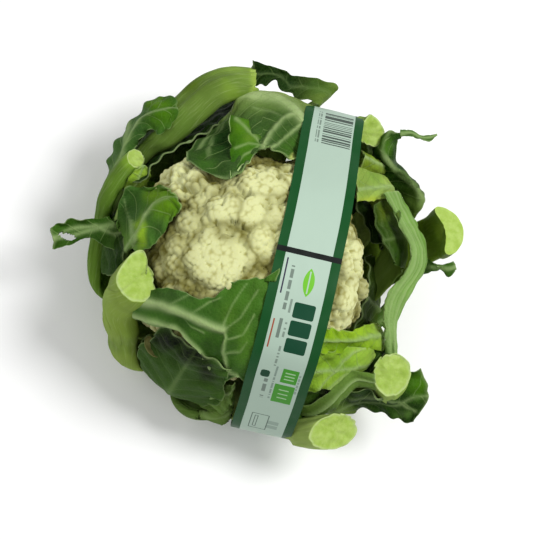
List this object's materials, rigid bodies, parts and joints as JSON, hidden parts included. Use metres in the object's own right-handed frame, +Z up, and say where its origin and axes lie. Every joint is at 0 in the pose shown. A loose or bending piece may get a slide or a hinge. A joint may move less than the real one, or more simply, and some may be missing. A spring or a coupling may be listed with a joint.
{
  "type": "cauliflower",
  "caption": "Whole fresh cauliflower: lumpy cream curd in trimmed, curled green leaves on a short flat-cut stem, wrapped once round by a printed film band.",
  "frame": {"origin": "centre of the flat cut face of the stem, which is what the head rests on", "axes": "+Z up through the crown of the curd, +X across the band towards the side with the big cut leaf stalk, +Y roughly along the band over the crown"},
  "size_m": [0.3017, 0.2794, 0.1691],
  "materials": {
    "curd_cream": "matt, lumpy, slightly waxy",
    "stem_pale": "matt cut stalk",
    "petiole_green": "smooth waxy leaf stalk",
    "leaf_dark": "waxy blue-green leaf blade",
    "leaf_mid": "waxy mid-green leaf blade",
    "leaf_yellow_green": "tender yellow-green inner leaf",
    "dried_brown": "dried brown leaf end",
    "band_film": "printed wrapping film, faint sheen"
  },
  "bodies": {
    "root": {"curd": "curd_cream", "stem": "stem_pale", "label_band": "band_film", "leaf_top_draped": "leaf_mid", "leaf_inner_left": "leaf_mid", "leaf_inner_left_curl": "leaf_yellow_green", "leaf_lower_left_draped": "leaf_mid", "leaf_inner_lower_right_a": "leaf_yellow_green", "leaf_inner_lower_right_b": "leaf_yellow_green", "leaf_inner_upper_right": "leaf_yellow_green", "leaf_inner_right": "leaf_mid", "leaf_right_strap": "petiole_green", "leaf_upper_right_curl": "leaf_yellow_green", "leaf_outer_upper_left": "leaf_dark", "leaf_stub_upper_left": "petiole_green", "leaf_stub_left": "petiole_green", "leaf_outer_lower_left": "leaf_dark", "leaf_inner_bottom": "leaf_yellow_green", "leaf_outer_lower_right": "leaf_dark", "leaf_stub_bottom": "petiole_green", "leaf_outer_upper_right": "leaf_dark", "leaf_stub_right": "petiole_green", "leaf_curl_right": "leaf_dark", "leaf_stub_upper_right": "petiole_green", "leaf_wing_left": "leaf_dark", "leaf_dried_stub": "dried_brown", "leaf_outer_top": "leaf_dark", "leaf_wrapper_upper_left": "leaf_dark", "leaf_wrapper_left": "leaf_dark", "leaf_wrapper_lower_left": "leaf_dark", "leaf_wrapper_lower_right": "leaf_mid", "leaf_wrapper_right": "leaf_mid", "leaf_wrapper_upper_right": "leaf_dark"}
  },
  "joints": []
}
